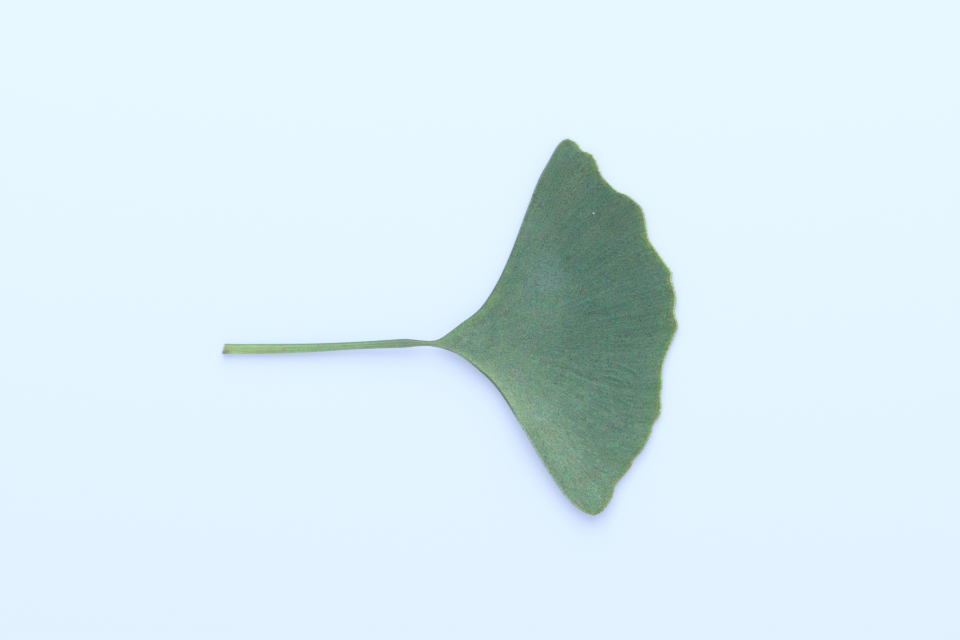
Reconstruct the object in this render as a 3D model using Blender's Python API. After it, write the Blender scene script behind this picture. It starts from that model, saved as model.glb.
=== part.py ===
"""A ginkgo leaf, as picked: a fan-shaped blade grown in one piece with its stalk.

It lies face up on the surface it was laid on. Metres, +Z up, and +X runs from
the stalk's cut end to the blade's outer margin. The origin is on the surface,
under the middle of the leaf's own box. Outlines are drawn from the junction,
where the stalk opens into the blade, and the whole leaf is moved at the end.
"""
import math

import bmesh
import bpy
import numpy as np

MM = 0.001

LEAF = "ginkgo_leaf"

# The stalk from its cut end to the junction:
# along, sideways, half its width, height of its middle, half its thickness
STALK = np.array((
    (-37.4, -1.00, 0.92, 1.10, 0.76),
    (-30.0, -1.00, 0.90, 1.14, 0.74),
    (-22.0, -0.85, 0.80, 1.30, 0.68),
    (-14.0, -0.45, 0.68, 1.64, 0.60),
    (-8.0, -0.15, 0.74, 2.02, 0.58),
    (-4.5, 0.02, 0.78, 2.24, 0.56),
    (-1.8, 0.06, 0.56, 2.38, 0.48),
    (0.0, 0.02, 0.50, 2.45, 0.42),
)) * MM
CUT_SLANT = 0.36 * MM
STALK_RIM_ANGLE = math.radians(12)
STALK_GROOVE_DEPTH = 0.16 * MM
STALK_GROOVE_SHARE = 0.13
# The stalk's oval section flattens into the blade between these two places
FLATTEN_FROM, FLATTEN_TO = -0.06, 0.16

# The blade's two sides, from the junction to its lower and upper tips
LOWER_SIDE = np.array((
    (0.0, -0.48), (2.5, -1.0), (5.4, -2.2), (8.3, -4.4), (11.2, -7.1), (13.6, -10.3),
    (17.0, -16.0), (20.4, -21.8), (24.0, -27.1), (26.4, -29.5), (28.1, -30.5), (29.4, -30.9),
)) * MM
UPPER_SIDE = np.array((
    (0.0, 0.52), (2.5, 1.35), (5.6, 3.6), (9.0, 6.3), (12.0, 10.8), (14.5, 16.2),
    (17.0, 22.9), (19.4, 29.2), (21.6, 33.3), (22.8, 35.4), (23.8, 36.5), (24.9, 36.95),
)) * MM
# The outer margin's lobes and notches, from the lower tip to the upper one
OUTER_MARGIN = np.array((
    (29.4, -30.9), (31.0, -30.1), (32.5, -28.2), (33.0, -26.9), (33.6, -25.3), (36.1, -22.3),
    (36.7, -20.9), (38.2, -19.3), (39.8, -16.3), (40.2, -14.7), (41.4, -13.0), (41.7, -11.2),
    (41.6, -9.3), (41.9, -7.2), (41.8, -5.5), (42.4, -2.7), (43.9, 0.9), (44.7, 3.1),
    (44.1, 5.6), (44.4, 8.3), (43.6, 11.4), (43.6, 12.8), (42.2, 14.8), (39.6, 18.6),
    (39.1, 20.6), (38.8, 22.4), (38.2, 24.4), (35.9, 26.5), (33.7, 27.5), (31.4, 29.7),
    (30.7, 30.9), (29.9, 32.9), (29.1, 34.1), (27.4, 34.8), (26.5, 36.1), (24.9, 36.95),
)) * MM
# How far the outer margin's plain arc stands out from the line between the tips
ARC_RISE = 16.9 * MM
# The lobes fade inwards from the margin by this power of the way along
LOBE_FADE = 5

BLADE_THICKNESS = 0.66 * MM
# Low ridges fan out over the blade's upper face, as its veins do
RIDGE_HEIGHT = 0.08 * MM

# Heights of the blade's middle, by share of the way from junction to margin
SPINE_HEIGHTS = np.array((
    (0.0, 2.45), (0.07, 2.56), (0.16, 2.32), (0.30, 1.50), (0.42, 0.86), (0.55, 0.52),
    (0.70, 0.48), (0.85, 0.62), (1.0, 0.74),
)) * (1, MM)
LOWER_LIFTS = np.array((
    (0.0, 0.0), (0.14, 0.15), (0.30, 1.35), (0.46, 2.30), (0.64, 2.20), (0.82, 1.55), (1.0, 1.05),
)) * (1, MM)
UPPER_LIFTS = np.array((
    (0.0, 0.0), (0.15, 0.08), (0.40, 0.60), (0.62, 0.85), (0.82, 0.60), (1.0, 0.0),
)) * (1, MM)
LOWER_LIFT_POWER = 6
UPPER_LIFT_POWER = 5
# The lower half of the outer margin stands up, and the whole of it ripples
OUTER_LIFT = 0.40 * MM
OUTER_LIFT_POWER = 4
OUTER_LIFT_END = 0.25
RIPPLE_HEIGHT = 0.15 * MM
RIPPLES = 5.63
# The blade sags to a small flat spot under the leaf's weight, on which it rests,
# and the rest of it is at least this clear of the surface
CLEARANCE = 0.80 * MM
REST_MIDDLE = np.array((24.3, 2.5)) * MM
REST_RADIUS, REST_REACH = 8.0 * MM, 13.0 * MM
# The lower side's edge rolls over in a narrow strip
ROLL_DROP = 0.45 * MM
ROLL_SHARE = 0.035
ROLL_MIDDLE, ROLL_REACH = 0.36, 0.20

STALK_ROWS = 15
BLADE_ROWS = 28
FIRST_COLUMNS = 8
# Rows from which there are twice the columns, as the veins fork on their way
FORK_ROWS = (STALK_ROWS + 3, STALK_ROWS + 8, STALK_ROWS + 15, STALK_ROWS + 23)
HALF_ROW = 0.5

LEAF_COLOUR = (0.09, 0.18, 0.085, 1.0)
LEAF_ROUGHNESS = 0.55
SHARP_ANGLE = math.radians(40)


def smooth_line(points, steps=12):
    """Closely spaced rows of a Catmull-Rom curve through the points."""
    guides = np.vstack([2 * points[0] - points[1], points, 2 * points[-1] - points[-2]])
    t = np.linspace(0.0, 1.0, steps, endpoint=False)[:, None]
    spans = [
        0.5 * (2 * b + (c - a) * t + (2 * a - 5 * b + 4 * c - d) * t**2
               + (3 * b - a - 3 * c + d) * t**3)
        for a, b, c, d in zip(guides, guides[1:], guides[2:], guides[3:])
    ]
    return np.vstack(spans + [points[-1:]])


def read_off(table, places):
    """Every other column of a table at places in its first column."""
    line = smooth_line(table)
    columns = [np.interp(places, line[:, 0], column) for column in line.T[1:]]
    return np.stack(columns, axis=-1)


def share_along(points, share):
    """The points at shares of the length of a smooth line."""
    line = smooth_line(points)
    steps = np.hypot(*np.diff(line, axis=0).T)
    length = np.concatenate([[0.0], np.cumsum(steps)])
    return np.stack([np.interp(share * length[-1], length, axis) for axis in line.T], axis=-1)


def ease(low, high, value):
    """0 below low, 1 above high, and an even S between."""
    t = np.clip((value - low) / (high - low), 0.0, 1.0)
    return t * t * (3 - 2 * t)


def between(a, b, share):
    return a + (b - a) * share[:, None]


def plain_arc(across):
    """The outer margin without its lobes: one arc between the two tips."""
    low, high = OUTER_MARGIN[0], OUTER_MARGIN[-1]
    chord = high - low
    half_chord = np.hypot(*chord) / 2
    outwards = np.array((chord[1], -chord[0])) / (2 * half_chord)
    radius = (half_chord**2 + ARC_RISE**2) / (2 * ARC_RISE)
    centre = (low + high) / 2 + outwards * (ARC_RISE - radius)
    start, end = (math.atan2(y, x) for x, y in (low - centre, high - centre))
    angle = start + (end - start) * across
    return centre + radius * np.stack([np.cos(angle), np.sin(angle)], axis=-1)


def roundness(along):
    """1 where the section is the stalk's oval, 0 where it is flat blade."""
    return 1 - ease(FLATTEN_FROM, FLATTEN_TO, along)


def oval_angle(across):
    return STALK_RIM_ANGLE + across * (math.pi - 2 * STALK_RIM_ANGLE)


def stalk_section(along):
    """The stalk's table at places from -1, the cut end, to 0, the junction."""
    length = -STALK[0, 0]
    x = np.minimum(along, 0.0) * length
    return x, *read_off(STALK, x).T


def share_across(across, along):
    """Columns crowd towards the rims of the stalk, and are even in the blade."""
    oval = 0.5 - 0.5 * np.cos(oval_angle(across)) / math.cos(STALK_RIM_ANGLE)
    return across + (oval - across) * roundness(along)


def stalk_plan(across, along):
    x, sideways, half_width, _, _ = stalk_section(along)
    slant = CUT_SLANT * across * np.clip(-along, 0.0, 1.0) ** 30
    return np.stack([x + slant, sideways + (2 * across - 1) * half_width], axis=-1)


def blade_plan(across, along):
    """Rows bow out from the straight line between the sides to the margin."""
    way = np.clip(along, 0.0, 1.0)
    straight = between(share_along(LOWER_SIDE, way), share_along(UPPER_SIDE, way), across)
    arc = plain_arc(across)
    chord = between(OUTER_MARGIN[0], OUTER_MARGIN[-1], across)
    lobes = share_along(OUTER_MARGIN, across) - arc
    return straight + (arc - chord) * way[:, None] + lobes * way[:, None] ** LOBE_FADE


def plan(across, along):
    """Where a point of the leaf lies, seen from above."""
    across = share_across(across, along)
    in_stalk = (along < 0)[:, None]
    return np.where(in_stalk, stalk_plan(across, along), blade_plan(across, along))


def middle_height(across, along):
    """Height of the middle of the leaf's thickness above the surface."""
    _, _, _, stalk, _ = stalk_section(along)
    way = np.clip(along, 0.0, 1.0)
    height = read_off(SPINE_HEIGHTS, way)[:, 0]
    height += read_off(LOWER_LIFTS, way)[:, 0] * (1 - across) ** LOWER_LIFT_POWER
    height += read_off(UPPER_LIFTS, way)[:, 0] * across**UPPER_LIFT_POWER
    height += OUTER_LIFT * ease(OUTER_LIFT_END, 0.0, across) * way**OUTER_LIFT_POWER
    ripple = 1 - np.cos(math.tau * RIPPLES * (1 - across))
    height += RIPPLE_HEIGHT * ripple * way**LOBE_FADE
    edge = np.clip(1 - across / ROLL_SHARE, 0.0, 1.0) ** 2
    height -= ROLL_DROP * edge * ease(ROLL_REACH, 0.0, np.abs(way - ROLL_MIDDLE))
    height = np.maximum(height, BLADE_THICKNESS / 2 + CLEARANCE)
    away = np.hypot(*(plan(across, along) - REST_MIDDLE).T)
    height += (BLADE_THICKNESS / 2 - height) * ease(REST_REACH, REST_RADIUS, away)
    return np.where(along < 0, stalk, height)


def half_thickness(across, along):
    _, _, _, _, stalk = stalk_section(along)
    blade = BLADE_THICKNESS / 2
    return blade + (stalk * np.sin(oval_angle(across)) - blade) * roundness(along)


def groove_depth(across, along):
    """The shallow channel along the top of the stalk."""
    channel = np.exp(-(((across - 0.5) / STALK_GROOVE_SHARE) ** 2))
    return STALK_GROOVE_DEPTH * channel * roundness(along)


def ridge_height(across, row):
    """Every other column of the blade stands up, and each fork doubles them."""
    forks = np.sum(row[:, None] >= np.array(FORK_ROWS) - HALF_ROW, axis=1)
    column = np.rint(across * FIRST_COLUMNS * 2.0**forks)
    along = (row - STALK_ROWS) / BLADE_ROWS
    return RIDGE_HEIGHT * (column % 2 == 0) * (1 - roundness(along))


def even_sheet():
    """A grid with x across the leaf and one unit of y for each row along it."""
    rows = STALK_ROWS + BLADE_ROWS
    bm = bmesh.new()
    bmesh.ops.create_grid(bm, x_segments=FIRST_COLUMNS, y_segments=rows, size=0.5)
    bmesh.ops.translate(bm, verts=bm.verts, vec=(0.5, 0.5, 0.0))
    bmesh.ops.scale(bm, verts=bm.verts, vec=(1.0, rows, 1.0))
    for fork_row in FORK_ROWS:
        crossing = [
            edge for edge in bm.edges
            if all(vert.co.y > fork_row - HALF_ROW for vert in edge.verts)
            and abs(edge.verts[0].co.y - edge.verts[1].co.y) < HALF_ROW
        ]
        bmesh.ops.subdivide_edges(bm, edges=crossing, cuts=1, use_grid_fill=True)
    return bm


def thicken(bm):
    """A closed slab from z 0 to 1, with both faces split into triangles alike."""
    bmesh.ops.triangulate(bm, faces=bm.faces, quad_method="FIXED")
    copied = bmesh.ops.extrude_face_region(bm, geom=bm.faces[:], use_keep_orig=True)["geom"]
    upper = [item for item in copied if isinstance(item, bmesh.types.BMVert)]
    bmesh.ops.translate(bm, verts=upper, vec=(0.0, 0.0, 1.0))
    bmesh.ops.triangulate(bm, faces=bm.faces)


def bend(bm):
    """Move each point of the slab to its place in the leaf."""
    across, row, level = np.array([vert.co for vert in bm.verts]).T
    past_stalk = row - STALK_ROWS
    along = past_stalk / np.where(past_stalk < 0, STALK_ROWS, BLADE_ROWS)
    half = half_thickness(across, along)
    relief = ridge_height(across, row) - groove_depth(across, along)
    is_upper = level > 0.5
    height = middle_height(across, along) + np.where(is_upper, half + relief, -half)
    places = np.column_stack([plan(across, along), height])
    places[:, :2] -= (places.min(axis=0) + places.max(axis=0))[:2] / 2
    for vert, place in zip(bm.verts, places):
        vert.co = place
    bmesh.ops.recalc_face_normals(bm, faces=bm.faces)


def leaf_material():
    material = bpy.data.materials.new("leaf_green")
    material.use_nodes = True
    shader = material.node_tree.nodes["Principled BSDF"]
    shader.inputs["Base Color"].default_value = LEAF_COLOUR
    shader.inputs["Roughness"].default_value = LEAF_ROUGHNESS
    shader.inputs["Metallic"].default_value = 0.0
    return material


def build_leaf(collection):
    bm = even_sheet()
    thicken(bm)
    bend(bm)
    mesh = bpy.data.meshes.new(LEAF)
    bm.to_mesh(mesh)
    bm.free()
    mesh.shade_smooth()
    mesh.set_sharp_from_angle(angle=SHARP_ANGLE)
    mesh.materials.append(leaf_material())
    collection.objects.link(bpy.data.objects.new(LEAF, mesh))


def main():
    for old in list(bpy.data.objects):
        bpy.data.objects.remove(old)
    collection = bpy.data.collections.new("ginkgo leaf")
    bpy.context.scene.collection.children.link(collection)
    build_leaf(collection)


main()
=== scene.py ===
"""A picked ginkgo leaf lying face up on a pale surface, finished from its solid.

The leaf is one piece. It is modelled as an even flat slab, with x across the
leaf and y counting rows from the stalk's cut end to the blade's margin, which
is then bent into the leaf. Lengths are metres. Outlines are drawn from the
junction, where the stalk opens into the blade.
"""
import math
import random

import bmesh
import bpy
import numpy as np
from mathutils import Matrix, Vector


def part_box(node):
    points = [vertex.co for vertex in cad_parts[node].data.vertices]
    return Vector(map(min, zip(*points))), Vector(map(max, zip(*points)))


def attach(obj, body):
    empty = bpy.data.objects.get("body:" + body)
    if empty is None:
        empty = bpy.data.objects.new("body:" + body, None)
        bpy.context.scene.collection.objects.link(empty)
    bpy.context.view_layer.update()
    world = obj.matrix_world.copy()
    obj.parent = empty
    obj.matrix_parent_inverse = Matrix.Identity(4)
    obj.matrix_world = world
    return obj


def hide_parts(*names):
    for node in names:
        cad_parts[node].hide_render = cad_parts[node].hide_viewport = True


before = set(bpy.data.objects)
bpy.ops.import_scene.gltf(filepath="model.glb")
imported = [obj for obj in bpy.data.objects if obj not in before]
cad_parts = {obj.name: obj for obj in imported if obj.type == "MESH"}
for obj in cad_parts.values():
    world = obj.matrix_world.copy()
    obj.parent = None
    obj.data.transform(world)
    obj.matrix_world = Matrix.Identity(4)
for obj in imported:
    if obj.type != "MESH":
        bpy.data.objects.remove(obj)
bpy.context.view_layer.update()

MM = 0.001

# The stalk from its cut end to the junction:
# along, sideways, half its width, height of its middle, half its thickness
STALK = np.array((
    (-37.4, -1.00, 0.92, 0.96, 0.76),
    (-34.0, -1.02, 0.90, 0.95, 0.75),
    (-30.0, -1.00, 0.90, 0.99, 0.74),
    (-22.0, -0.85, 0.80, 1.18, 0.68),
    (-14.0, -0.45, 0.68, 1.55, 0.60),
    (-8.0, -0.15, 0.74, 1.95, 0.58),
    (-4.5, 0.02, 0.78, 2.18, 0.54),
    (-1.8, 0.03, 0.54, 2.32, 0.46),
    (0.0, -0.03, 0.46, 2.39, 0.40),
)) * MM
STALK_LENGTH = -STALK[0, 0]
CUT_SLANT = 0.36 * MM
CUT_SLANT_FADE = 30
CUT_DISH = 0.14 * MM
STALK_RIM_ANGLE = math.radians(12)
STALK_GROOVE_DEPTH = 0.07 * MM
STALK_GROOVE_SHARE = 0.12
STALK_GROOVE_END = -0.10
STALK_FLUTES = 5
STALK_FLUTE_DEPTH = 0.018 * MM
FLATTEN_FROM, FLATTEN_TO = -0.06, 0.16

# The blade's two sides, from the junction to its lower and upper tips
LOWER_SIDE = np.array((
    (0.0, -0.49), (2.5, -1.0), (5.4, -2.2), (8.3, -4.4), (11.2, -7.1), (13.6, -10.3),
    (17.0, -16.0), (20.4, -21.8), (24.0, -27.1), (26.4, -29.5), (28.1, -30.5), (29.4, -30.9),
)) * MM
UPPER_SIDE = np.array((
    (0.0, 0.43), (1.4, 0.68), (2.9, 1.55), (5.6, 3.6), (9.0, 6.3), (12.0, 10.8), (14.5, 16.2),
    (17.0, 22.9), (19.4, 29.2), (21.6, 33.3), (22.8, 35.4), (23.8, 36.5), (24.9, 36.95),
)) * MM
# The outer margin's lobes and notches, from the lower tip to the upper one
OUTER_MARGIN = np.array((
    (29.4, -30.9), (31.0, -30.1), (32.5, -28.2), (33.0, -26.9), (33.6, -25.3), (36.1, -22.3),
    (36.7, -20.9), (38.2, -19.3), (39.8, -16.3), (40.2, -14.7), (41.4, -13.0), (41.7, -11.2),
    (41.6, -9.3), (41.9, -7.2), (41.8, -5.5), (42.4, -2.7), (43.9, 0.9), (44.7, 3.1),
    (44.1, 5.6), (44.4, 8.3), (43.6, 11.4), (43.6, 12.8), (42.2, 14.8), (39.6, 18.6),
    (39.1, 20.6), (38.8, 22.4), (38.2, 24.4), (35.9, 26.5), (33.7, 27.5), (31.4, 29.7),
    (30.7, 30.9), (29.9, 32.9), (29.1, 34.1), (27.4, 34.8), (26.5, 36.1), (24.9, 36.95),
)) * MM
ARC_RISE = 16.9 * MM
LOBE_FADE = 5
# Small blunt teeth along the outer margin, uneven in their spacing and size
TOOTH_HEIGHT = 0.040 * MM
TEETH = 83
TOOTH_DRIFT, TOOTH_DRIFTS = 2.2, 7
TOOTH_MIDDLE_SIZE, TOOTH_SIZE_CHANGES = 0.55, 3.3
TOOTH_FADE = 40
TOOTHLESS_END = 0.03

# The finished blade is thinner than the solid, whose middle it follows
BLADE_HALF = 0.21 * MM
SINK = 0.09 * MM
RIM_REACH = 0.36 * MM
RIM_SHARE = 0.34

# Heights of the blade's middle, by share of the way from junction to margin
SPINE_HEIGHTS = np.array((
    (0.0, 2.45), (0.07, 2.56), (0.16, 2.32), (0.30, 1.50), (0.42, 0.86), (0.55, 0.52),
    (0.70, 0.48), (0.85, 0.62), (1.0, 0.74),
)) * (1, MM)
LOWER_LIFTS = np.array((
    (0.0, 0.0), (0.14, 0.15), (0.30, 1.35), (0.46, 2.30), (0.64, 2.20), (0.82, 1.55), (1.0, 1.05),
)) * (1, MM)
UPPER_LIFTS = np.array((
    (0.0, 0.0), (0.15, 0.08), (0.40, 0.60), (0.62, 0.85), (0.82, 0.60), (1.0, 0.0),
)) * (1, MM)
LOWER_LIFT_POWER = 6
UPPER_LIFT_POWER = 5
OUTER_LIFT = 0.40 * MM
OUTER_LIFT_POWER = 4
OUTER_LIFT_END = 0.25
RIPPLE_HEIGHT = 0.15 * MM
RIPPLES = 5.63
CLEARANCE = 0.40 * MM
LEAST_GAP = 0.04 * MM
REST_MIDDLE = np.array((24.3, 2.5)) * MM
REST_RADIUS, REST_REACH = 5.0 * MM, 19.0 * MM
ROLL_DROP = 0.45 * MM
ROLL_SHARE = 0.035
ROLL_MIDDLE, ROLL_REACH = 0.36, 0.20

# Low swells, 5 to 13 mm long, and pleats that fan out, which the solid leaves out
SWELLS = 14
SWELL_HEIGHT = 0.030 * MM
SHORTEST_SWELL, LONGEST_SWELL = 5.0, 13.0
PLEATS = 9
PLEAT_HEIGHT = 0.010 * MM
FEWEST_PLEATS, MOST_PLEATS = 9, 30
PLEAT_ONSET = (0.12, 0.75)

# Veins fork into two wherever the strip that they feed has grown this wide
VEIN_SPACING = 1.15 * MM
VEIN_HALF_WIDTH = 0.30 * MM
VEIN_RISE = 0.016 * MM
VEIN_TURN = 0.07
VEIN_STEP = 0.01
VEIN_END = 1.01
LAST_FORK = 0.985
FORK_WIDTHS = (0.85, 1.35)
FORK_SHIFT = 0.12
# The first two veins: where each starts along the blade, the two sides of its strip, and
# where across the junction it leaves from
FIRST_VEINS = ((0.0, 0.0, 0.5, 0.42), (0.0, 0.5, 1.0, 0.58))
# Veins rise less near the junction, less on the underside, and not at the very rim
VEIN_BASE_SHARE = 0.35
VEIN_ONSET = (0.15, 0.70)
UNDER_VEIN_SHARE = 0.7
VEIN_RIM_GAP = 0.5 * MM
FAR_OFF = 5.0 * MM

# Creases across the blade near its outer margin: middle, radius, span in degrees
CREASES = (
    ((31.5, -10.6), 4.7, (34, 96)), ((32.8, -9.9), 6.1, (35, 82)),
    ((32.0, -8.8), 4.0, (62, 104)), ((33.0, -13.2), 3.4, (30, 80)),
)
CREASE_HALF_WIDTH = 0.45 * MM
CREASE_OUTSIDE, CREASE_INSIDE = 4, 5
CREASE_RISE = 0.078 * MM

# Rows of the slab, and how far along each lies: -1 the cut, 0 the junction, 1 the margin
CUT_SCALES = (0.03, 0.40, 0.75, 0.95, 1.0)
ROW_STOPS = (4, 64, 82, 98, 111, 136, 158, 197, 203)
ALONG_STOPS = (-1.0, 0.0, 0.10, 0.20, 0.30, 0.50, 0.68, 0.985, 1.0)
ROWS = ROW_STOPS[-1]
FIRST_COLUMNS = 20
FORK_ROWS = (80, 97, 110, 133, 155)
HALF_ROW = 0.5
CUT_ROWS = (3.0, 4.2)
SAMPLES_ACROSS, SAMPLES_ALONG = 65, 41

# Patterns of the skin. Lengths in these tables are millimetres. "place" is the place on the
# leaf, and these other spaces count repeats across the leaf, along it and through it
EDGES = ("lower_edge", "upper_edge", "outer_edge")
GROWTH_SPACES = {
    "fan": (46.0, 5.0, 1.0), "fine_fan": (150.0, 13.0, 0.0), "stalk_lines": (9.0, 14.0, 3.0),
}
# Soft patches: their space, how many to a unit of it, their detail, and the two levels of
# noise between which they fade in
PATCHES = {
    "teal": ("place", 0.42, 3.0, 0.48, 0.68),
    "olive": ("fan", 0.30, 3.0, 0.50, 0.70),
    "plum": ("place", 0.85, 3.0, 0.53, 0.70),
    "streaks": ("fan", 1.0, 2.0, 0.35, 0.65),
    "threads": ("fine_fan", 1.0, 1.0, 0.30, 0.70),
    "wander": ("place", 1.3, 2.0, 0.3, 0.7),
    "patches": ("place", 0.9, 2.0, 0.40, 0.60),
    "brown_flecks": ("place", 1.3, 1.0, 0.57, 0.66),
    "stalk_streaks": ("stalk_lines", 1.1, 3.0, 0.36, 0.64),
    "blush": ("place", 0.28, 2.0, 0.52, 0.66),
    "singed": ("place", 1.2, 2.0, 0.30, 0.55),
    "pores": ("place", 5.5, 3.0, 0.25, 0.75),
}
# Soft round marks, x, y and radius, which fade out from a core at one height
SPOTS = {
    "upper_haze": (12.2, 14.5, 10.5), "middle_haze": (16.0, 5.0, 9.5),
    "upper_scar": (-41.0, -3.55, 0.42), "lower_scar": (-41.0, -4.45, 0.42),
    # The mark at the lower tip carries painted shade against the lamp's sheen there
    "lower_tip": (25.6, -28.8, 4.0), "upper_lobe": (30.0, 20.6, 7.2),
    "fleck": (25.80, 20.4, 0.25),
}
JOINED_SPOTS = {"haze": ("upper_haze", "middle_haze"), "scars": ("upper_scar", "lower_scar")}
MARK_HEIGHT = 1.0
MARK_CORE = 0.25
# The margin's bands change in width along it, and the sides' bands fade away from the junction
WANDER_SHARES = (0.75, 1.25)
BASE_REACH = (0.46, 0.26)
BAND_ENDS = {"upper_band_end": 0.42, "lower_band_end": 0.45}
# A fade follows a guide from the value where it starts to the one where it is full, and goes
# from 0 to 1 unless two more numbers say otherwise. A guide without numbers is a mask itself
SHARED_FADES = {
    "thread_strength": (("along", 0.25, 0.65), ("across", 0.80, 0.25, 0.015, 0.16)),
    "lower_dip": (("lower_edge", 2.6, 1.4), ("lower_edge", 0.35, 0.80), ("along", 0.44, 0.56)),
}
# Colours that change along the leaf: along what they do, the first one and the second
CHANGING_COLOURS = {
    "upper_gold": (("along", 0.34, 0.50), (0.240, 0.385, 0.135), (0.200, 0.280, 0.115)),
    "lower_lip": (("along", 0.80, 0.93), (0.640, 0.740, 0.640), (0.720, 0.750, 0.430)),
    "cut_face": (("scars",), (0.500, 0.450, 0.320), (0.300, 0.210, 0.130)),
}

# Layers of colour, from the first one up: what it is, how strong, its colour (none for a
# layer that only lightens or darkens) and its fades
BLADE_BASE = (0.200, 0.305, 0.164)
BLADE_LAYERS = (
    ("deeper away from the stalk", 1.0, (0.093, 0.185, 0.103), ("along", 0.02, 0.62)),
    ("teal blotches", 0.38, (0.070, 0.170, 0.120), ("teal",)),
    ("olive blotches", 0.38, (0.145, 0.205, 0.090), ("olive",)),
    ("plum blotches", 0.34, (0.150, 0.170, 0.130), ("plum",)),
    ("paler lower half", 1.0, (0.196, 0.310, 0.166),
     ("across", 0.58, 0.05), ("along", 0.45, 0.9, 0.84, 0.46)),
    # Paler along the lower side: partly the leaf's own colour, partly painted light where the
    # lifted side tilts towards the lamp
    ("pale lower side", 0.78, (0.255, 0.372, 0.200),
     ("across", 0.18, 0.03), ("along", 0.06, 0.25)),
    ("slanting streak", 0.14, (0.305, 0.430, 0.240),
     ("across", 0.045, 0.085), ("across", 0.19, 0.12),
     ("along", 0.36, 0.48), ("along", 0.92, 0.72)),
    ("warm upper side", 0.50, (0.124, 0.196, 0.098),
     ("across", 0.80, 0.99), ("along", 0.15, 0.6)),
    ("haze", 0.55, (0.172, 0.285, 0.168), ("haze",)),
    ("streaks", 1.0, None, ("streaks", 0.0, 1.0, 0.975, 1.025)),
    ("veins", 0.13, (0.200, 0.300, 0.150), ("vein", 0.17, 0.03)),
    ("threads", 1.0, None, ("thread_shade",)),
)
OUTER_LAYERS = (
    ("pale lower strip", 0.34, (0.200, 0.320, 0.170),
     ("wandering_edge", 5.0, 1.2), ("across", 0.62, 0.30)),
    ("green patches", 0.60, (0.125, 0.250, 0.085), ("wandering_edge", 3.2, 0.9), ("patches",)),
    ("golden band", 0.75, (0.225, 0.315, 0.085), ("wandering_edge", 1.05, 0.35)),
    ("brown flecks", 0.45, (0.205, 0.195, 0.075),
     ("wandering_edge", 1.05, 0.35), ("brown_flecks",)),
    # Partly the margin's own pale yellow, partly painted light where light shines through the
    # thin edge
    ("pale lip", 1.0, (0.740, 0.790, 0.430),
     ("outer_edge", 0.35, 0.15), ("across", 0.10, 0.42, 0.34, 0.66)),
)
SIDE_LAYERS = (
    ("upper gold", 1.0, "upper_gold", ("upper_edge", 2.2, 0.5), ("upper_band_end",),
     ("blade",), ("patches", 0.0, 1.0, 0.45, 0.80)),
    ("lower gold", 0.60, (0.260, 0.370, 0.165),
     ("lower_edge", 1.7, 0.5), ("lower_band_end",), ("blade",)),
    ("dark upper line", 0.55, (0.105, 0.180, 0.120),
     ("upper_edge", 0.46, 0.22), ("along", 0.62, 0.36), ("blade",)),
    ("upper lip", 0.5, (0.340, 0.430, 0.330),
     ("upper_edge", 0.40, 0.14), ("along", 0.48, 0.68)),
    ("pale line inside the roll", 0.55, (0.330, 0.440, 0.220),
     ("lower_edge", 0.30, 0.45), ("lower_edge", 1.00, 0.60), ("along", 0.52, 0.40)),
    # Painted highlight: a yellow-green glint along the rolled lower edge
    ("glow after the roll", 0.34, (0.340, 0.490, 0.200),
     ("lower_edge", 0.40, 0.80), ("lower_edge", 1.90, 1.00),
     ("along", 0.34, 0.42), ("along", 0.58, 0.47)),
    # Painted shade: a dark strip where the lower edge rolls under, away from the light
    ("dark rolled edge", 0.65, (0.120, 0.200, 0.115),
     ("lower_edge", 0.42, 0.22), ("along", 0.15, 0.24), ("along", 0.52, 0.40)),
    ("dip inside the lower lip", 1.0, None, ("lower_dip", 0.0, 1.0, 1.0, 0.91)),
    ("golden lower tip", 0.60, (0.225, 0.300, 0.105),
     ("lower_edge", 1.5, 0.5), ("along", 0.80, 0.93)),
    ("lower lip", 0.46, "lower_lip", ("lower_edge", 0.44, 0.18), ("along", 0.44, 0.56)),
    ("lip at the junction", 0.60, (0.400, 0.400, 0.290),
     ("lower_edge", 0.50, 0.16), ("along", 0.20, 0.12), ("blade",)),
)
STALK_BASE = (0.415, 0.560, 0.200)
STALK_LAYERS = (
    ("duller middle", 1.0, (0.292, 0.450, 0.188), ("along", -0.95, -0.45)),
    ("grey-green neck", 1.0, (0.236, 0.312, 0.160), ("along", -0.38, -0.10)),
    ("paler junction", 1.0, (0.285, 0.345, 0.178), ("along", -0.10, 0.02)),
    ("streaks", 1.0, None, ("stalk_streaks", 0.0, 1.0, 0.94, 1.05)),
    ("blush", 0.35, (0.300, 0.235, 0.160),
     ("blush",), ("across", 0.62, 0.12), ("along", -0.02, -0.12)),
    # Painted light: the stalk's lower side is lightened, as if light shone through it, against
    # the lamp's shade there
    ("light lower rim", 1.0, None, ("across", 0.45, 0.05, 1.0, 1.75)),
    # Darker along the stalk's upper rim: partly its own colour, partly painted shade on the side
    # of the oval
    ("dark upper rim", 1.0, (0.125, 0.205, 0.110),
     ("across", 0.62, 0.92), ("along", -0.80, -0.30, 0.62, 0.92)),
    ("brown end", 1.0, (0.330, 0.240, 0.165),
     ("along", -0.945, -0.985), ("singed",), ("across", 0.85, 0.35, 0.25, 0.75)),
    ("pale frayed end", 1.0, (0.700, 0.690, 0.570),
     ("along", -0.989, -0.999), ("across", 0.05, 0.45, 0.25, 0.75)),
    ("cut face", 1.0, "cut_face", ("cut",)),
)
# The lower tip is darkened as painted shade, to damp the lamp's sheen on its slope; the upper
# lobe is darkened too
SHADED_ENDS = (
    ("lower tip", 1.0, None, ("lower_tip", 0.0, 1.0, 1.0, 0.92)),
    ("upper lobe", 1.0, None, ("upper_lobe", 0.0, 1.0, 1.0, 0.84)),
)
UNDERSIDE_LAYERS = (
    ("dull blade", 1.0, (0.228, 0.326, 0.194), ("blade",)),
    ("veins", 0.45, (0.300, 0.395, 0.235), ("vein", 0.17, 0.03)),
)
STALK_TO_BLADE = (0.0, 0.075)
FACE_TO_UNDERSIDE = (0.60, 0.20)
FLECK_COLOUR = (0.500, 0.620, 0.440)

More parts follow.
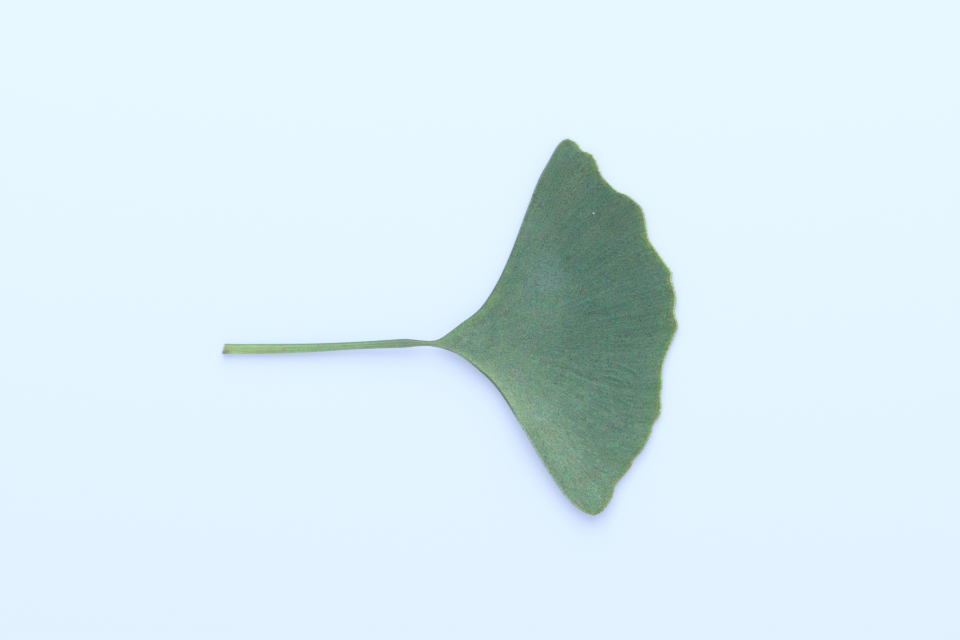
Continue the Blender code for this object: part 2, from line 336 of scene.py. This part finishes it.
# Small marks: x and y, radius, strength, colour
MARKS = (
    (17.2, 9.6, 5.0, 0.55, (0.180, 0.285, 0.205)),
    (8.5, 5.6, 1.1, 0.45, (0.260, 0.300, 0.110)),
    (23.7, 28.1, 0.6, 0.50, (0.100, 0.095, 0.060)),
    (18.8, -2.2, 0.6, 0.50, (0.210, 0.130, 0.100)),
    (12.4, -8.9, 2.2, 0.28, (0.300, 0.290, 0.200)),
    (15.6, 21.9, 0.9, 0.55, (0.180, 0.185, 0.175)),
    (13.2, 15.9, 1.0, 0.45, (0.190, 0.190, 0.170)),
    (19.4, 9.4, 0.6, 0.50, (0.280, 0.240, 0.190)),
)

# Mottling and grain: how fine, how strong in red, green and blue, and how much the stalk
# and the blade have of it
MOTTLES = ((0.66, (0.64, 0.32, 0.36)), (1.5, (0.10, 0.05, 0.06)))
MOTTLE_STRENGTHS = (0.5, 1.0)
FINE_DETAIL = 1.0
GRAIN_SCALE = 4.8
GRIT_STRENGTH = 1.70
GRIT_MIDDLE = 0.96
LEAF_ROUGHNESS = (0.46, 0.58)
LEAF_SHEEN = 0.35
BUMP_STRENGTH = 0.5
BUMP_DEPTH = 0.02 * MM
STALK_RIDGE_SHARE = 0.8

# The pale surface, which glows a little so that the shadows on it stay soft and blue
FLOOR_HEIGHT = -0.02 * MM
FLOOR_SIZE = 2.4
FLOOR_COLOUR = (0.60, 0.62, 0.63, 1.0)
FLOOR_ROUGHNESS = 0.9
FLOOR_GLOW = (0.56, 0.66, 1.0, 1.0)
FLOOR_GLOW_STRENGTH = 0.45

# Soft light from all round, one wide lamp, and a camera straight above
SKY_COLOUR = (0.72, 0.81, 1.0, 1.0)
SKY_STRENGTH = 0.66
LAMP_PLACE = (0.02, 0.75, 0.74)
LAMP_SIZE = 1.25
LAMP_POWER = 12.2
LAMP_COLOUR = (0.70, 0.80, 1.0)
CAMERA_PLACE = (5.35 * MM, 1.17 * MM, 0.385)
CAMERA_LENS = 80.0
CAMERA_SENSOR = 36.0
CAMERA_NEAR = 0.01
SHARP_ANGLE = math.radians(50)


def smooth_line(points, steps=12):
    """Closely spaced rows of a Catmull-Rom curve through the points."""
    guides = np.vstack([2 * points[0] - points[1], points, 2 * points[-1] - points[-2]])
    t = np.linspace(0.0, 1.0, steps, endpoint=False)[:, None]
    spans = [
        0.5 * (2 * b + (c - a) * t + (2 * a - 5 * b + 4 * c - d) * t**2
               + (3 * b - a - 3 * c + d) * t**3)
        for a, b, c, d in zip(guides, guides[1:], guides[2:], guides[3:])
    ]
    return np.vstack(spans + [points[-1:]])


def read_off(table, places):
    """Every other column of a table at places in its first column."""
    line = smooth_line(table)
    columns = [np.interp(places, line[:, 0], column) for column in line.T[1:]]
    return np.stack(columns, axis=-1)


def share_along(points, share):
    """The points at shares of the length of a smooth line."""
    line = smooth_line(points)
    steps = np.hypot(*np.diff(line, axis=0).T)
    length = np.concatenate([[0.0], np.cumsum(steps)])
    return np.stack([np.interp(share * length[-1], length, axis) for axis in line.T], axis=-1)


def ease(low, high, value):
    """0 below low, 1 above high, and an even S between."""
    t = np.clip((value - low) / (high - low), 0.0, 1.0)
    return t * t * (3 - 2 * t)


def hump(distance, reach):
    """1 at no distance, falling in a soft bell to 0 at the reach."""
    return 0.5 + 0.5 * np.cos(math.pi * np.clip(distance / reach, 0.0, 1.0))


def between(a, b, share):
    return a + (b - a) * share[:, None]


def plain_arc(across):
    """The outer margin without its lobes: one arc between the two tips."""
    low, high = OUTER_MARGIN[0], OUTER_MARGIN[-1]
    chord = high - low
    half_chord = np.hypot(*chord) / 2
    outwards = np.array((chord[1], -chord[0])) / (2 * half_chord)
    radius = (half_chord**2 + ARC_RISE**2) / (2 * ARC_RISE)
    centre = (low + high) / 2 + outwards * (ARC_RISE - radius)
    start, end = (math.atan2(y, x) for x, y in (low - centre, high - centre))
    angle = start + (end - start) * across
    return centre + radius * np.stack([np.cos(angle), np.sin(angle)], axis=-1)


def roundness(along):
    """1 where the section is the stalk's oval, 0 where it is flat blade."""
    return 1 - ease(FLATTEN_FROM, FLATTEN_TO, along)


def oval_angle(across):
    return STALK_RIM_ANGLE + across * (math.pi - 2 * STALK_RIM_ANGLE)


def stalk_section(along):
    """The stalk's table at places from -1, the cut end, to 0, the junction."""
    x = np.minimum(along, 0.0) * STALK_LENGTH
    return x, *read_off(STALK, x).T


def share_across(across, along):
    """Columns crowd towards the rims of the stalk, and are even in the blade."""
    oval = 0.5 - 0.5 * np.cos(oval_angle(across)) / math.cos(STALK_RIM_ANGLE)
    return across + (oval - across) * roundness(along)


def stalk_plan(across, along, scale):
    """The cut end is slanted, and its face is dished a little."""
    x, sideways, half_width, _, _ = stalk_section(along)
    spread = (2 * across - 1) * scale
    slant = CUT_SLANT * (0.5 + spread / 2) * np.clip(-along, 0.0, 1.0) ** CUT_SLANT_FADE
    dish = CUT_DISH * (1 - scale**2)
    return np.stack([x + slant + dish, sideways + spread * half_width], axis=-1)


def tooth_growth(across, along):
    """How far the blunt teeth push out the very margin."""
    turn = math.tau * across
    teeth = np.sin(TEETH * turn + TOOTH_DRIFT * np.sin(TOOTH_DRIFTS * turn))
    change = (1 - TOOTH_MIDDLE_SIZE) * np.sin(TOOTH_SIZE_CHANGES * turn + 1.0)
    ends = ease(0.0, TOOTHLESS_END, across) * ease(1.0, 1 - TOOTHLESS_END, across)
    size = TOOTH_HEIGHT * (TOOTH_MIDDLE_SIZE + change) * ends
    return size * teeth * np.clip(along, 0.0, 1.0) ** TOOTH_FADE


def blade_plan(across, along):
    """Rows bow out from the straight line between the sides to the margin."""
    way = np.clip(along, 0.0, 1.0)
    straight = between(share_along(LOWER_SIDE, way), share_along(UPPER_SIDE, way), across)
    arc = plain_arc(across)
    chord = between(OUTER_MARGIN[0], OUTER_MARGIN[-1], across)
    lobes = share_along(OUTER_MARGIN, across) - arc
    place = straight + (arc - chord) * way[:, None] + lobes * way[:, None] ** LOBE_FADE
    outwards = arc / np.hypot(*arc.T)[:, None]
    return place + outwards * tooth_growth(across, along)[:, None]


def plan(across, along, scale):
    """Where a point of the leaf lies, seen from above."""
    across = share_across(across, along)
    in_stalk = (along < 0)[:, None]
    return np.where(in_stalk, stalk_plan(across, along, scale), blade_plan(across, along))


def measure_rows():
    """How wide the blade is at even places along it, over the curve of its rows."""
    steps = np.linspace(0.0, 1.0, SAMPLES_ACROSS)
    table = []
    for way in np.linspace(0.0, 1.0, SAMPLES_ALONG):
        row = blade_plan(steps, np.full_like(steps, way))
        table.append((way, np.hypot(*np.diff(row, axis=0).T).sum()))
    return np.array(table).T


ROW_WIDTHS = measure_rows()


def row_width(along):
    return np.interp(along, *ROW_WIDTHS)


def swells(place, across, along, rng):
    """Soft unevenness: long swells anywhere, and pleats that fan out from the junction."""
    height = np.zeros(len(place))
    for _ in range(SWELLS):
        turn = rng.uniform(0, math.tau)
        wave = math.tau / (rng.uniform(SHORTEST_SWELL, LONGEST_SWELL) * MM)
        phase = rng.uniform(0, math.tau)
        run = place[:, 0] * math.cos(turn) + place[:, 1] * math.sin(turn)
        height += np.sin(run * wave + phase) * SWELL_HEIGHT / math.sqrt(SWELLS / 4)
    for _ in range(PLEATS):
        count = rng.uniform(FEWEST_PLEATS, MOST_PLEATS)
        phase = rng.uniform(0, math.tau)
        pleat = np.sin(across * count * math.tau + phase) * PLEAT_HEIGHT / math.sqrt(PLEATS / 3)
        height += pleat * ease(*PLEAT_ONSET, along)
    return height


def crease_height(place):
    """Short curved wrinkles across the veins."""
    height = np.zeros(len(place))
    for middle, radius, span in CREASES:
        off = place - np.array(middle) * MM
        away = np.abs(np.hypot(*off.T) - radius * MM)
        angle = np.degrees(np.arctan2(off[:, 1], off[:, 0]))
        ends = ease(span[0] - CREASE_OUTSIDE, span[0] + CREASE_INSIDE, angle)
        ends *= ease(span[1] + CREASE_OUTSIDE, span[1] - CREASE_INSIDE, angle)
        height += CREASE_RISE * hump(away, CREASE_HALF_WIDTH) * ends
    return height


def middle_height(across, along, place, rng):
    """Height of the middle of the leaf's thickness above the surface."""
    _, _, _, stalk, _ = stalk_section(along)
    way = np.clip(along, 0.0, 1.0)
    height = read_off(SPINE_HEIGHTS, way)[:, 0]
    height += read_off(LOWER_LIFTS, way)[:, 0] * (1 - across) ** LOWER_LIFT_POWER
    height += read_off(UPPER_LIFTS, way)[:, 0] * across**UPPER_LIFT_POWER
    height += OUTER_LIFT * ease(OUTER_LIFT_END, 0.0, across) * way**OUTER_LIFT_POWER
    ripple = 1 - np.cos(math.tau * RIPPLES * (1 - across))
    height += RIPPLE_HEIGHT * ripple * way**LOBE_FADE
    edge = np.clip(1 - across / ROLL_SHARE, 0.0, 1.0) ** 2
    height -= ROLL_DROP * edge * ease(ROLL_REACH, 0.0, np.abs(way - ROLL_MIDDLE))
    foot = BLADE_HALF + SINK
    height = np.maximum(height, foot + CLEARANCE)
    away = np.hypot(*(place - REST_MIDDLE).T)
    height += (foot - height) * ease(REST_REACH, REST_RADIUS, away)
    height += swells(place, across, along, rng) * (1 - roundness(along))
    height = np.maximum(height - SINK, BLADE_HALF + LEAST_GAP)
    return np.where(along < 0, stalk, height)


def grow_veins(rng):
    """Each vein as its start, its end, its own middle and its parent's middle."""
    veins = []
    tips = list(FIRST_VEINS)
    while tips:
        start, low, high, parent = tips.pop(0)
        middle = (low + high) / 2
        limit = VEIN_SPACING * rng.uniform(*FORK_WIDTHS)
        end = start + VEIN_TURN * 0.5
        while end < 1.0 and (high - low) * row_width(end) < limit:
            end += VEIN_STEP
        veins.append((start, min(end, VEIN_END), middle, parent))
        if end < LAST_FORK:
            split = middle + (high - low) * rng.uniform(-FORK_SHIFT, FORK_SHIFT)
            tips += [(end, low, split, middle), (end, split, high, middle)]
    return veins


def vein_distance(across, along, veins):
    """How far each point of the blade is from the nearest vein."""
    distance = np.full(len(across), FAR_OFF)
    for way in np.unique(along[along >= 0]):
        here = np.flatnonzero(along == way)
        lines = sorted(
            parent + (middle - parent) * ease(start, start + VEIN_TURN, np.float64(way))
            for start, end, middle, parent in veins if start <= way < end
        )
        lines = np.array(lines)
        spots = across[here]
        after = np.clip(np.searchsorted(lines, spots), 1, len(lines) - 1)
        gaps = np.abs(spots - lines[after - 1]), np.abs(spots - lines[after])
        distance[here] = np.minimum(*gaps) * row_width(way)
    return distance


def even_sheet():
    """A grid with x across the leaf and one unit of y for each row along it."""
    bm = bmesh.new()
    bmesh.ops.create_grid(bm, x_segments=FIRST_COLUMNS, y_segments=ROWS, size=0.5)
    bmesh.ops.translate(bm, verts=bm.verts, vec=(0.5, 0.5, 0.0))
    bmesh.ops.scale(bm, verts=bm.verts, vec=(1.0, ROWS, 1.0))
    for fork_row in FORK_ROWS:
        crossing = [
            edge for edge in bm.edges
            if edge.verts[0].co.y > fork_row - HALF_ROW
            and abs(edge.verts[0].co.y - edge.verts[1].co.y) < HALF_ROW
        ]
        bmesh.ops.subdivide_edges(bm, edges=crossing, cuts=1, use_grid_fill=True)
    return bm


def thicken(bm):
    """A closed slab from z 0 to 1, with both faces split into triangles alike."""
    bmesh.ops.triangulate(bm, faces=bm.faces, quad_method="FIXED")
    copied = bmesh.ops.extrude_face_region(bm, geom=bm.faces[:], use_keep_orig=True)["geom"]
    upper = [item for item in copied if isinstance(item, bmesh.types.BMVert)]
    bmesh.ops.translate(bm, verts=upper, vec=(0.0, 0.0, 1.0))
    bmesh.ops.triangulate(bm, faces=bm.faces)


def half_thickness(across, along, rim):
    """The blade's edge is rounded, and the stalk is an oval with low flutes."""
    _, _, _, _, stalk = stalk_section(along)
    inward = np.clip(rim / RIM_REACH, 0.0, 1.0)
    blade = BLADE_HALF * (RIM_SHARE + (1 - RIM_SHARE) * np.sqrt(1 - (1 - inward) ** 2))
    flutes = STALK_FLUTE_DEPTH * np.cos(math.tau * STALK_FLUTES * across)
    oval = (stalk + flutes) * np.sin(oval_angle(across))
    return blade + (oval - blade) * roundness(along)


def bend(bm):
    """Move each point of the slab to its place, and return what its finish follows."""
    across, row, level = np.array([vert.co for vert in bm.verts], dtype=np.float64).T
    row = np.rint(row)
    along = np.interp(row, ROW_STOPS, ALONG_STOPS)
    scale = np.interp(row, range(len(CUT_SCALES)), CUT_SCALES)
    place = plan(across, along, scale)
    width = row_width(along)
    blade_length = np.hypot(*OUTER_MARGIN[len(OUTER_MARGIN) // 2])
    from_lower, from_upper = across * width, (1 - across) * width
    from_outer = (1 - along) * blade_length
    rim = np.minimum(np.minimum(from_lower, from_upper), from_outer)
    blade = 1 - roundness(along)
    vein = vein_distance(across, along, grow_veins(random.Random(7)))
    vein_rise = VEIN_RISE * hump(vein, VEIN_HALF_WIDTH) * blade * ease(0.0, VEIN_RIM_GAP, rim)
    vein_rise *= VEIN_BASE_SHARE + (1 - VEIN_BASE_SHARE) * ease(*VEIN_ONSET, along)
    groove = np.exp(-(((across - 0.5) / STALK_GROOVE_SHARE) ** 2)) * STALK_GROOVE_DEPTH
    groove *= ease(0.0, STALK_GROOVE_END, along)
    half = half_thickness(across, along, rim)
    middle = middle_height(across, along, place, random.Random(3))
    upper = middle + (half + vein_rise - groove) * scale + crease_height(place) * blade
    lower = middle - (half + UNDER_VEIN_SHARE * vein_rise) * scale
    height = np.where(level > 0.5, upper, lower)
    solid_low, solid_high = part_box("ginkgo_leaf")
    middle_of_place = (place.min(axis=0) + place.max(axis=0)) / 2
    shift = np.array((solid_low + solid_high)[:2]) / 2 - middle_of_place
    place = place + shift
    for vert, spot in zip(bm.verts, np.column_stack([place, height])):
        vert.co = spot
    bmesh.ops.recalc_face_normals(bm, faces=bm.faces)
    return {
        "across": across, "along": along, "level": level, "blade": blade,
        "vein": vein / MM, "lower_edge": from_lower / MM, "upper_edge": from_upper / MM,
        "outer_edge": from_outer / MM, "cut": 1 - ease(*CUT_ROWS, row),
    }


def new_node(tree, kind, **settings):
    node = tree.nodes.new(kind)
    for name, value in settings.items():
        setattr(node, name, value)
    return node


def feed(tree, socket, value):
    """Link a socket to another's output, or set its own value."""
    if isinstance(value, bpy.types.NodeSocket):
        tree.links.new(value, socket)
    else:
        socket.default_value = value


def maths(tree, operation, *values, clamp=False):
    node = new_node(tree, "ShaderNodeMath", operation=operation, use_clamp=clamp)
    for socket, value in zip(node.inputs, values):
        feed(tree, socket, value)
    return node.outputs[0]


def times(tree, *values):
    result = values[0]
    for value in values[1:]:
        result = maths(tree, "MULTIPLY", result, value)
    return result


def remap(tree, value, low, high, to_low=0.0, to_high=1.0):
    node = new_node(tree, "ShaderNodeMapRange", interpolation_type="SMOOTHSTEP")
    for socket, number in zip(node.inputs, (value, low, high, to_low, to_high)):
        feed(tree, socket, number)
    return node.outputs[0]


def tint(tree, share, base, colour):
    """Mix a colour over the base by a share."""
    node = new_node(tree, "ShaderNodeMix", data_type="RGBA")
    feed(tree, node.inputs[0], share)
    for index, value in ((6, base), (7, colour)):
        is_socket = isinstance(value, bpy.types.NodeSocket)
        feed(tree, node.inputs[index], value if is_socket else (*value, 1.0))
    return node.outputs[2]


def shade(tree, colour, amount):
    """Lighten or darken a colour by a factor."""
    node = new_node(tree, "ShaderNodeVectorMath", operation="SCALE")
    feed(tree, node.inputs[0], colour)
    feed(tree, node.inputs["Scale"], amount)
    return node.outputs[0]


def attribute(tree, name):
    return new_node(tree, "ShaderNodeAttribute", attribute_name=name).outputs["Fac"]


def blotches_group():
    """A mask of soft patches: noise of a given size, cut between two levels."""
    group = bpy.data.node_groups.new("blotches", "ShaderNodeTree")
    face = group.interface
    face.new_socket("Vector", in_out="INPUT", socket_type="NodeSocketVector")
    for name, value in (("Scale", 1.0), ("Detail", 2.0), ("Low", 0.45), ("High", 0.6)):
        face.new_socket(name, in_out="INPUT", socket_type="NodeSocketFloat").default_value = value
    face.new_socket("Mask", in_out="OUTPUT", socket_type="NodeSocketFloat")
    entry = new_node(group, "NodeGroupInput")
    noise = new_node(group, "ShaderNodeTexNoise")
    for name in ("Vector", "Scale", "Detail"):
        group.links.new(entry.outputs[name], noise.inputs[name])
    mask = remap(group, noise.outputs["Fac"], entry.outputs["Low"], entry.outputs["High"])
    group.links.new(mask, new_node(group, "NodeGroupOutput").inputs["Mask"])
    return group


def blotches(tree, vector, scale, detail, low, high):
    """A mask of soft patches over a space, cut between two levels of noise."""
    node = new_node(tree, "ShaderNodeGroup", node_tree=bpy.data.node_groups["blotches"])
    values = {"Vector": vector, "Scale": scale, "Detail": detail, "Low": low, "High": high}
    for name, value in values.items():
        feed(tree, node.inputs[name], value)
    return node.outputs["Mask"]


def fine_noise(tree, place, scale):
    node = new_node(tree, "ShaderNodeTexNoise")
    for name, value in (("Vector", place), ("Scale", scale), ("Detail", FINE_DETAIL)):
        feed(tree, node.inputs[name], value)
    return node


def mottle(tree, place, scale, amounts, colour):
    """Noise of its own in red, green and blue, which shifts the hue as well as the shade."""
    factor = new_node(tree, "ShaderNodeVectorMath", operation="MULTIPLY_ADD")
    feed(tree, factor.inputs[0], fine_noise(tree, place, scale).outputs["Color"])
    feed(tree, factor.inputs[1], amounts)
    feed(tree, factor.inputs[2], tuple(1 - amount / 2 for amount in amounts))
    shifted = new_node(tree, "ShaderNodeVectorMath", operation="MULTIPLY")
    feed(tree, shifted.inputs[0], colour)
    feed(tree, shifted.inputs[1], factor.outputs[0])
    return shifted.outputs[0]


def spot(tree, place, x, y, radius):
    """A soft round mark at a place given in millimetres."""
    node = new_node(tree, "ShaderNodeVectorMath", operation="DISTANCE")
    feed(tree, node.inputs[0], place)
    feed(tree, node.inputs[1], (x, y, MARK_HEIGHT))
    return remap(tree, node.outputs["Value"], radius, radius * MARK_CORE)


def growth_space(tree, guides, counts):
    """A space for patterns that follow the leaf's growth across, along and through it."""
    node = new_node(tree, "ShaderNodeCombineXYZ")
    for socket, name, count in zip(node.inputs, ("across", "along", "level"), counts):
        feed(tree, socket, times(tree, guides[name], count))
    return node.outputs[0]


def fade(tree, guides, fades, strength=1.0):
    """Where a layer shows: the product of its fades, each of them along one guide."""
    masks = [remap(tree, guides[name], *ends) if ends else guides[name] for name, *ends in fades]
    return times(tree, *masks, strength)


def lay(tree, guides, colour, layers):
    """Tint a colour by each layer of a table in turn, or shade it by one that has no colour."""
    for _, strength, over, *fades in layers:
        amount = fade(tree, guides, fades, strength)
        if over is None:
            colour = shade(tree, colour, amount)
        else:
            colour = tint(tree, amount, colour, guides.get(over, over))
    return colour


def leaf_guides(tree):
    """All that the layers of colour follow, by the names that their tables use."""
    names = ("across", "along", "level", "blade", "vein", "cut")
    guides = {name: attribute(tree, name) for name in names + EDGES}
    place = new_node(tree, "ShaderNodeVectorMath", operation="SCALE")
    feed(tree, place.inputs[0], new_node(tree, "ShaderNodeTexCoord").outputs["Object"])
    feed(tree, place.inputs["Scale"], 1 / MM)
    guides["place"] = place.outputs[0]
    for name, counts in GROWTH_SPACES.items():
        guides[name] = growth_space(tree, guides, counts)
    for name, (space, *settings) in PATCHES.items():
        guides[name] = blotches(tree, guides[space], *settings)
    for name, circle in SPOTS.items():
        guides[name] = spot(tree, guides["place"], *circle)
    for name, (first, second) in JOINED_SPOTS.items():
        guides[name] = maths(tree, "MAXIMUM", guides[first], guides[second])
    wander = remap(tree, guides["wander"], 0.0, 1.0, *WANDER_SHARES)
    guides["wandering_edge"] = times(tree, guides["outer_edge"], wander)
    for name, least in BAND_ENDS.items():
        near_base = remap(tree, guides["along"], *BASE_REACH)
        guides[name] = maths(tree, "MAXIMUM", near_base, least)
    for name, fades in SHARED_FADES.items():
        guides[name] = fade(tree, guides, fades)
    threads = maths(tree, "SUBTRACT", guides["threads"], 0.5)
    threads = times(tree, threads, guides["thread_strength"])
    guides["thread_shade"] = maths(tree, "ADD", threads, 1.0)
    for name, (share, *colours) in CHANGING_COLOURS.items():
        guides[name] = tint(tree, fade(tree, guides, [share]), *colours)
    return guides


def roughened(tree, guides, colour, grain):
    """Fine mottling and grain over a colour, weaker on the stalk."""
    place = guides["place"]
    deep = remap(tree, guides["blade"], 0.0, 1.0, *MOTTLE_STRENGTHS)
    mottled = colour
    for scale, amounts in MOTTLES:
        mottled = mottle(tree, place, scale, amounts, mottled)
    colour = tint(tree, deep, colour, mottled)
    grit = times(tree, maths(tree, "SUBTRACT", grain, 0.5), GRIT_STRENGTH)
    return shade(tree, colour, maths(tree, "MULTIPLY_ADD", grit, deep, GRIT_MIDDLE))


def leaf_material():
    """Green blade, yellow-green stalk, golden margin and pale cut, all in one skin."""
    material = bpy.data.materials.new("leaf_green_skin")
    material.use_nodes = True
    tree = material.node_tree
    guides = leaf_guides(tree)
    place = guides["place"]
    grain = fine_noise(tree, place, GRAIN_SCALE).outputs["Fac"]
    blade = lay(tree, guides, BLADE_BASE, BLADE_LAYERS + OUTER_LAYERS + SIDE_LAYERS)
    stalk = lay(tree, guides, STALK_BASE, STALK_LAYERS)
    colour = tint(tree, remap(tree, guides["along"], *STALK_TO_BLADE), stalk, blade)
    for x, y, radius, share, mark in MARKS:
        colour = tint(tree, times(tree, spot(tree, place, x, y, radius), share), colour, mark)
    colour = lay(tree, guides, colour, SHADED_ENDS)
    underside = lay(tree, guides, stalk, UNDERSIDE_LAYERS)
    colour = tint(tree, remap(tree, guides["level"], *FACE_TO_UNDERSIDE), colour, underside)
    colour = roughened(tree, guides, colour, grain)
    colour = tint(tree, guides["fleck"], colour, FLECK_COLOUR)

    shader = tree.nodes["Principled BSDF"]
    feed(tree, shader.inputs["Base Color"], colour)
    feed(tree, shader.inputs["Roughness"], remap(tree, grain, 0.0, 1.0, *LEAF_ROUGHNESS))
    shader.inputs["Specular IOR Level"].default_value = LEAF_SHEEN
    bump = new_node(tree, "ShaderNodeBump")
    bump.inputs["Strength"].default_value = BUMP_STRENGTH
    bump.inputs["Distance"].default_value = BUMP_DEPTH
    ridges = times(tree, guides["stalk_streaks"], STALK_RIDGE_SHARE)
    feed(tree, bump.inputs["Height"], maths(tree, "ADD", guides["pores"], ridges))
    feed(tree, shader.inputs["Normal"], bump.outputs[0])
    return material


def build_leaf():
    """The whole leaf, blade and stalk, as one closed skin."""
    bm = even_sheet()
    thicken(bm)
    finish_guides = bend(bm)
    mesh = bpy.data.meshes.new("ginkgo_leaf_skin")
    bm.to_mesh(mesh)
    bm.free()
    for name, values in finish_guides.items():
        guide = mesh.attributes.new(name, "FLOAT", "POINT")
        guide.data.foreach_set("value", values.astype(np.float32))
    mesh.shade_smooth()
    mesh.set_sharp_from_angle(angle=SHARP_ANGLE)
    mesh.materials.append(leaf_material())
    leaf = bpy.data.objects.new("ginkgo_leaf_skin", mesh)
    bpy.context.scene.collection.objects.link(leaf)
    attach(leaf, "root")
    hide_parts("ginkgo_leaf")


def lay_floor():
    """The pale surface that the leaf lies on."""
    bm = bmesh.new()
    bmesh.ops.create_grid(bm, x_segments=1, y_segments=1, size=FLOOR_SIZE / 2)
    bmesh.ops.translate(bm, verts=bm.verts, vec=(0.0, 0.0, FLOOR_HEIGHT))
    mesh = bpy.data.meshes.new("floor")
    bm.to_mesh(mesh)
    bm.free()
    material = bpy.data.materials.new("pale_surface")
    material.use_nodes = True
    shader = material.node_tree.nodes["Principled BSDF"]
    shader.inputs["Base Color"].default_value = FLOOR_COLOUR
    shader.inputs["Roughness"].default_value = FLOOR_ROUGHNESS
    shader.inputs["Emission Color"].default_value = FLOOR_GLOW
    shader.inputs["Emission Strength"].default_value = FLOOR_GLOW_STRENGTH
    shader.inputs["Specular IOR Level"].default_value = 0.0
    mesh.materials.append(material)
    floor = bpy.data.objects.new("floor", mesh)
    bpy.context.scene.collection.objects.link(floor)


def light_studio():
    """Soft light from all round, and one wide lamp towards the top of the picture."""
    world = bpy.data.worlds.new("studio")
    bpy.context.scene.world = world
    world.use_nodes = True
    background = world.node_tree.nodes["Background"]
    background.inputs["Color"].default_value = SKY_COLOUR
    background.inputs["Strength"].default_value = SKY_STRENGTH
    lamp = bpy.data.lights.new("key", "AREA")
    lamp.shape = "DISK"
    lamp.size = LAMP_SIZE
    lamp.energy = LAMP_POWER
    lamp.color = LAMP_COLOUR
    key = bpy.data.objects.new("key", lamp)
    key.location = LAMP_PLACE
    key.rotation_euler = key.location.to_track_quat("Z", "Y").to_euler()
    bpy.context.scene.collection.objects.link(key)


def place_camera():
    """Straight above the leaf, with the stalk to the left."""
    lens = bpy.data.cameras.new("camera")
    lens.lens = CAMERA_LENS
    lens.sensor_width = CAMERA_SENSOR
    lens.clip_start = CAMERA_NEAR
    camera = bpy.data.objects.new("camera", lens)
    camera.location = CAMERA_PLACE
    bpy.context.scene.collection.objects.link(camera)
    bpy.context.scene.camera = camera


bpy.context.scene.view_settings.view_transform = "Standard"
place_camera()
blotches_group()
build_leaf()
lay_floor()
light_studio()
